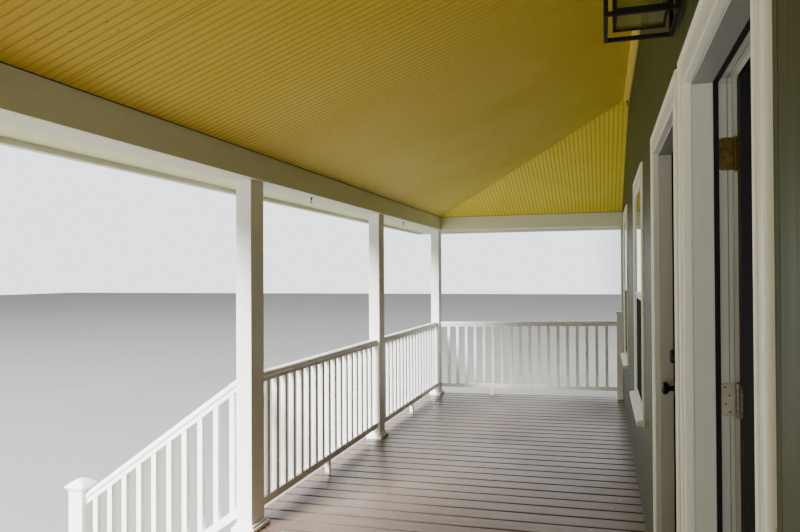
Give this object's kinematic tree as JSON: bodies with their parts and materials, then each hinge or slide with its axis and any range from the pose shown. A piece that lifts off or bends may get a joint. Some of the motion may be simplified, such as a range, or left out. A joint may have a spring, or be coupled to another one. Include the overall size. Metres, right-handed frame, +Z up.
{
  "type": "front porch",
  "caption": "Hip-roofed front porch with railings, a stair and the strip of house wall behind it, with windows and a pair of hinged entry doors.",
  "frame": {"origin": "middle of the underside of the house's foundation wall, on the ground", "axes": "+X along the wall toward the open entry door, +Y into the house, -Y to the yard and the stair, +Z up"},
  "size_m": [12.21, 4.5615, 4.1865],
  "materials": {
    "masonry": "matt",
    "wall_paint": "satin paint",
    "white_paint": "satin paint",
    "framing": "sawn",
    "deck_boards": "composite boards, matt",
    "ceiling_paint": "satin paint",
    "shingles": "rough granules",
    "sheet_metal": "semi-gloss",
    "sill_wood": "worn",
    "hinge_metal": "aged",
    "black_paint": "gloss paint",
    "black_metal": "satin",
    "window_glass": "clear, reflecting",
    "bulb": "frosted"
  },
  "bodies": {
    "porch": {"foundation": "masonry", "floor_band": "wall_paint", "wall_left": "wall_paint", "wall_middle": "wall_paint", "wall_right": "wall_paint", "wall_header": "wall_paint", "corner_boards": "white_paint", "piers": "masonry", "deck_joists": "framing", "deck_rims": "framing", "deck": "deck_boards", "skirts": "white_paint", "stair_stringers": "white_paint", "stair_risers": "white_paint", "stair_treads": "deck_boards", "stair_newels": "white_paint", "stair_rails": "white_paint", "front_posts": "white_paint", "end_posts": "white_paint", "front_rails_left": "white_paint", "front_rails_right": "white_paint", "end_rails": "white_paint", "front_beam": "white_paint", "end_beams": "white_paint", "rafters": "framing", "ceiling_main": "ceiling_paint", "ceiling_hips": "ceiling_paint", "ceiling_cove": "ceiling_paint", "roof": "shingles", "roof_flashing": "sheet_metal", "soffit": "white_paint", "fascia": "white_paint", "gutter": "sheet_metal", "door_casings": "white_paint", "door_jambs": "white_paint", "door_sills": "sill_wood", "jamb_hinges": "hinge_metal", "window_casings": "white_paint", "window_sills": "white_paint", "window_sashes": "white_paint", "window_glass": "window_glass", "lantern_mount": "black_metal", "lantern_cage": "black_metal", "lantern_bulb": "bulb", "hooks": "black_metal"},
    "near_door_leaf": {"near_door": "black_paint", "near_door_hardware": "black_metal"},
    "far_door_leaf": {"far_door": "black_paint", "far_door_hardware": "black_metal"}
  },
  "joints": [
    {"name": "near_door_hinge", "type": "hinge", "parent": "porch", "child": "near_door_leaf", "pos_m": [0.3615, 0.025, 1.94], "axis": [0, 0, 1], "range_deg": [-90, 0]},
    {"name": "far_door_hinge", "type": "hinge", "parent": "porch", "child": "far_door_leaf", "pos_m": [0.1165, 0.025, 1.94], "axis": [0, 0, -1], "range_deg": [0, 90]}
  ]
}
